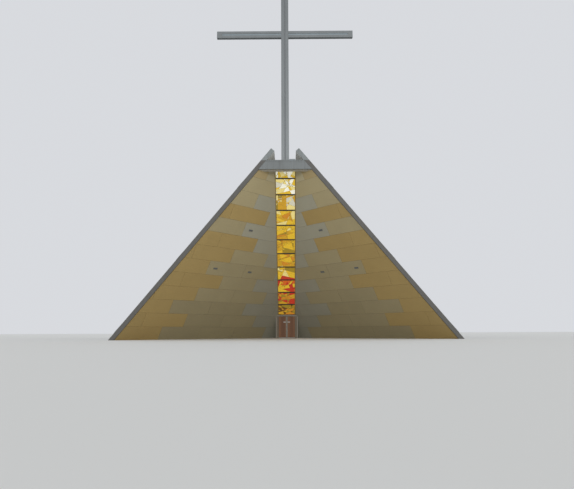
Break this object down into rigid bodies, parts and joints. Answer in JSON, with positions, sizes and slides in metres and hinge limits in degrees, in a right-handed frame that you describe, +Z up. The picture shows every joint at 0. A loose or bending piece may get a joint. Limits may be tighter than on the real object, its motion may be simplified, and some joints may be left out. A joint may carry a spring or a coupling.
{
  "type": "modern church building",
  "caption": "Modern A-frame church: two steep roof slabs over a folded, forward-leaning stone front with a glazed strip, a small door and a tall ridge cross.",
  "frame": {"origin": "centre of the building's plan at ground level", "axes": "+Z up, the entrance front faces -Y, +X to the right seen from the front"},
  "size_m": [26.9, 26.9, 30.375],
  "materials": {
    "stone": "matt stone panels",
    "roofing": "satin grey sheet",
    "grey_metal": "satin",
    "dark_metal": "satin dark grey",
    "coloured_glass": "coloured glass",
    "door_wood": "stained wood",
    "concrete": "smooth concrete"
  },
  "bodies": {
    "building": {"roof_left": "roofing", "roof_right": "roofing", "ridge_cap": "grey_metal", "rear_ridge_cap": "grey_metal", "ridge_deck": "grey_metal", "front_wall_left_lower": "stone", "front_wall_left_upper": "stone", "front_wall_right_lower": "stone", "front_wall_right_upper": "stone", "rear_wall_left": "stone", "rear_wall_right": "stone", "strip_stile_left": "dark_metal", "strip_stile_right": "dark_metal", "strip_sill_rail": "grey_metal", "strip_head_rail": "dark_metal", "strip_glass": "coloured_glass", "rear_stile_left": "dark_metal", "rear_stile_right": "dark_metal", "rear_glass": "coloured_glass", "portal_cheek_left": "concrete", "portal_cheek_right": "concrete", "portal_head": "concrete", "door_jamb_left": "grey_metal", "door_jamb_right": "grey_metal", "door_lintel": "grey_metal", "threshold": "concrete", "floor_left": "concrete", "floor_right": "concrete", "door_hinge_left": "dark_metal", "door_hinge_right": "dark_metal", "cross_post": "grey_metal", "cross_arm_left": "grey_metal", "cross_arm_right": "grey_metal", "lamp_left_inner": "dark_metal", "lamp_left_outer": "dark_metal", "lamp_left_upper": "dark_metal", "lamp_right_inner": "dark_metal", "lamp_right_outer": "dark_metal", "lamp_right_upper": "dark_metal"},
    "left_door": {"door_leaf_left": "door_wood", "door_strip_left": "grey_metal", "door_bar_left": "grey_metal"},
    "right_door": {"door_leaf_right": "door_wood", "door_strip_right": "grey_metal", "door_bar_right": "grey_metal"}
  },
  "joints": [
    {"name": "left_door_hinge", "type": "hinge", "parent": "building", "child": "left_door", "pos_m": [-0.7817, -1.7456, 1.0575], "axis": [0, 0, -1], "range_deg": [0, 90]},
    {"name": "right_door_hinge", "type": "hinge", "parent": "building", "child": "right_door", "pos_m": [0.7817, -1.7456, 1.0575], "axis": [0, 0, 1], "range_deg": [0, 90]}
  ]
}
